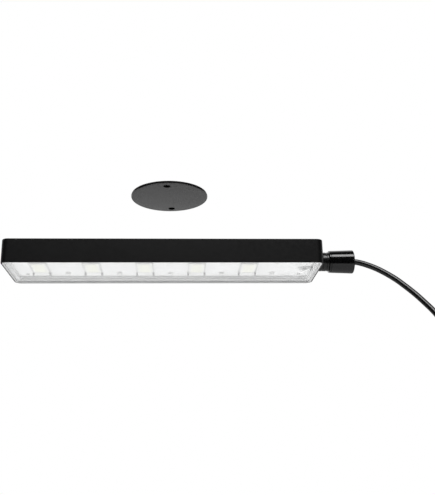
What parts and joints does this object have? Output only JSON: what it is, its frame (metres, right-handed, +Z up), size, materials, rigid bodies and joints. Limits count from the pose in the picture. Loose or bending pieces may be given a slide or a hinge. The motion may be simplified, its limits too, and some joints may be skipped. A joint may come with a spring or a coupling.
{
  "type": "led aquarium light",
  "caption": "Slim black submersible LED aquarium light with a clear lens, a cable gland and lead, hung by magnets from a round steel disc under a hood.",
  "frame": {"origin": "centre of the adhesive pad's top face, on the disc's axis, where the disc is stuck under a hood", "axes": "+Z up out of the pad, +X along the lamp towards its cable gland, -Y the front"},
  "size_m": [0.3748, 0.099, 0.2818],
  "materials": {
    "satin_black": "satin",
    "gloss_black": "gloss",
    "coated_steel": "satin",
    "foam_black": "matte",
    "strap_fabric": "woven",
    "clear_acrylic": "clear",
    "grey_silicone": "matte",
    "white_plastic": "satin",
    "white_board": "satin",
    "phosphor": "satin",
    "smoke_plastic": "satin",
    "thermal_pad": "matte",
    "aluminium": "milled",
    "screw_steel": "zinc plated",
    "nickel": "nickel plated",
    "black_rubber": "matte",
    "cable_jacket": "semi-gloss",
    "wire_white": "semi-gloss",
    "wire_grey": "semi-gloss"
  },
  "bodies": {
    "mount": {"adhesive_pad": "foam_black", "mount_disc": "coated_steel"},
    "lamp": {"board_screw_1": "screw_steel", "board_screw_10": "screw_steel", "board_screw_2": "screw_steel", "board_screw_3": "screw_steel", "board_screw_4": "screw_steel", "board_screw_5": "screw_steel", "board_screw_6": "screw_steel", "board_screw_7": "screw_steel", "board_screw_8": "screw_steel", "board_screw_9": "screw_steel", "cable_tail": "cable_jacket", "cord": "cable_jacket", "cord_coil": "cable_jacket", "cord_end": "cable_jacket", "cord_tie": "strap_fabric", "corner_screw_1": "screw_steel", "corner_screw_2": "screw_steel", "corner_screw_3": "screw_steel", "corner_screw_4": "screw_steel", "dc_plug_barrel": "nickel", "dc_plug_body": "cable_jacket", "gland_body": "gloss_black", "gland_locknut": "nickel", "gland_o_ring": "grey_silicone", "gland_seal": "black_rubber", "heat_spreader": "aluminium", "housing": "satin_black", "led_board": "white_board", "led_module_1": "phosphor", "led_module_2": "phosphor", "led_module_3": "phosphor", "led_module_4": "phosphor", "led_module_5": "phosphor", "lens_cover": "clear_acrylic", "lens_gasket": "grey_silicone", "lens_spacer_1": "smoke_plastic", "lens_spacer_2": "smoke_plastic", "lens_spacer_3": "smoke_plastic", "lens_spacer_4": "smoke_plastic", "lens_spacer_5": "smoke_plastic", "magnet_carrier": "smoke_plastic", "magnet_left": "nickel", "magnet_right": "nickel", "reflector": "white_plastic", "thermal_pad": "thermal_pad", "wire_grommet": "grey_silicone", "wire_negative": "wire_grey", "wire_positive": "wire_white"},
    "clamp_ring": {"clamp_ring": "nickel"},
    "gland_nut": {"gland_nut": "gloss_black"}
  },
  "joints": [
    {"name": "lamp_docking", "type": "slide", "parent": "mount", "child": "lamp", "axis": [0, 0, 1], "range_m": [0, 0.0477]},
    {"name": "clamp_ring_slide", "type": "slide", "parent": "lamp", "child": "clamp_ring", "axis": [1, 0, 0], "range_m": [0, 0.00225]},
    {"name": "gland_nut_turn", "type": "hinge", "parent": "clamp_ring", "child": "gland_nut", "pos_m": [0.149, 0, -0.0604], "axis": [1, 0, 0], "range_deg": [0, 540]}
  ],
  "couplings": [
    {"joint": "clamp_ring_slide", "follows": "gland_nut_turn", "m_per_rad": 0.00023873}
  ]
}
